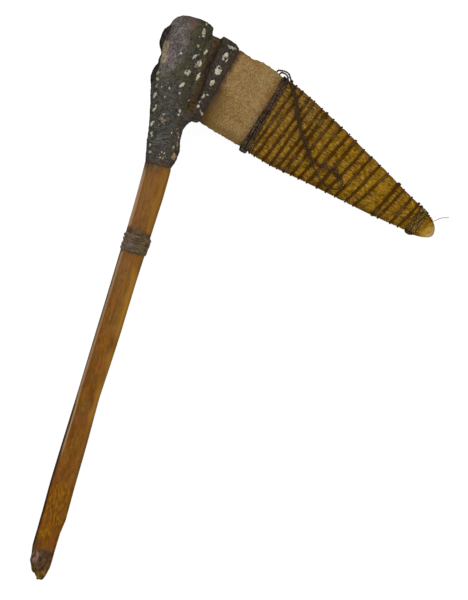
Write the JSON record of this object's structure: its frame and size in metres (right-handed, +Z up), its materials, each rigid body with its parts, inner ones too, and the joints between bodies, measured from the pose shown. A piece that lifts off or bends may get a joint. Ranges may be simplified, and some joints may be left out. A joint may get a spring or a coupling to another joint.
{
  "type": "hafted stone pick",
  "caption": "Long stone blade held in a doubled stick by a lump of dark resin with pale painted spots, its point in a bark sheath wound with fibre string.",
  "frame": {"origin": "on the floor, at the middle of the small flat spot under the resin head, on which the pick lies", "axes": "+Y along the handle towards the head, +X along the blade towards its point, +Z up from the floor that the pick lies on"},
  "size_m": [0.2293, 0.4178, 0.0355],
  "materials": {
    "wood": "worn, oiled long grain, stained dark at the end",
    "stone": "flaked, finely speckled quartzite",
    "resin": "old resin, smoothed by hand, with pale painted spots",
    "bark": "fibrous paper-like bark",
    "string": "two-ply plant-fibre string",
    "old_string": "string under dark dirt and resin"
  },
  "bodies": {
    "root": {"handle_wood": "wood", "stone_blade": "stone", "resin_haft": "resin", "handle_binding": "old_string", "bark_sheath": "bark", "sheath_binding": "string", "loose_string": "string"}
  },
  "joints": []
}
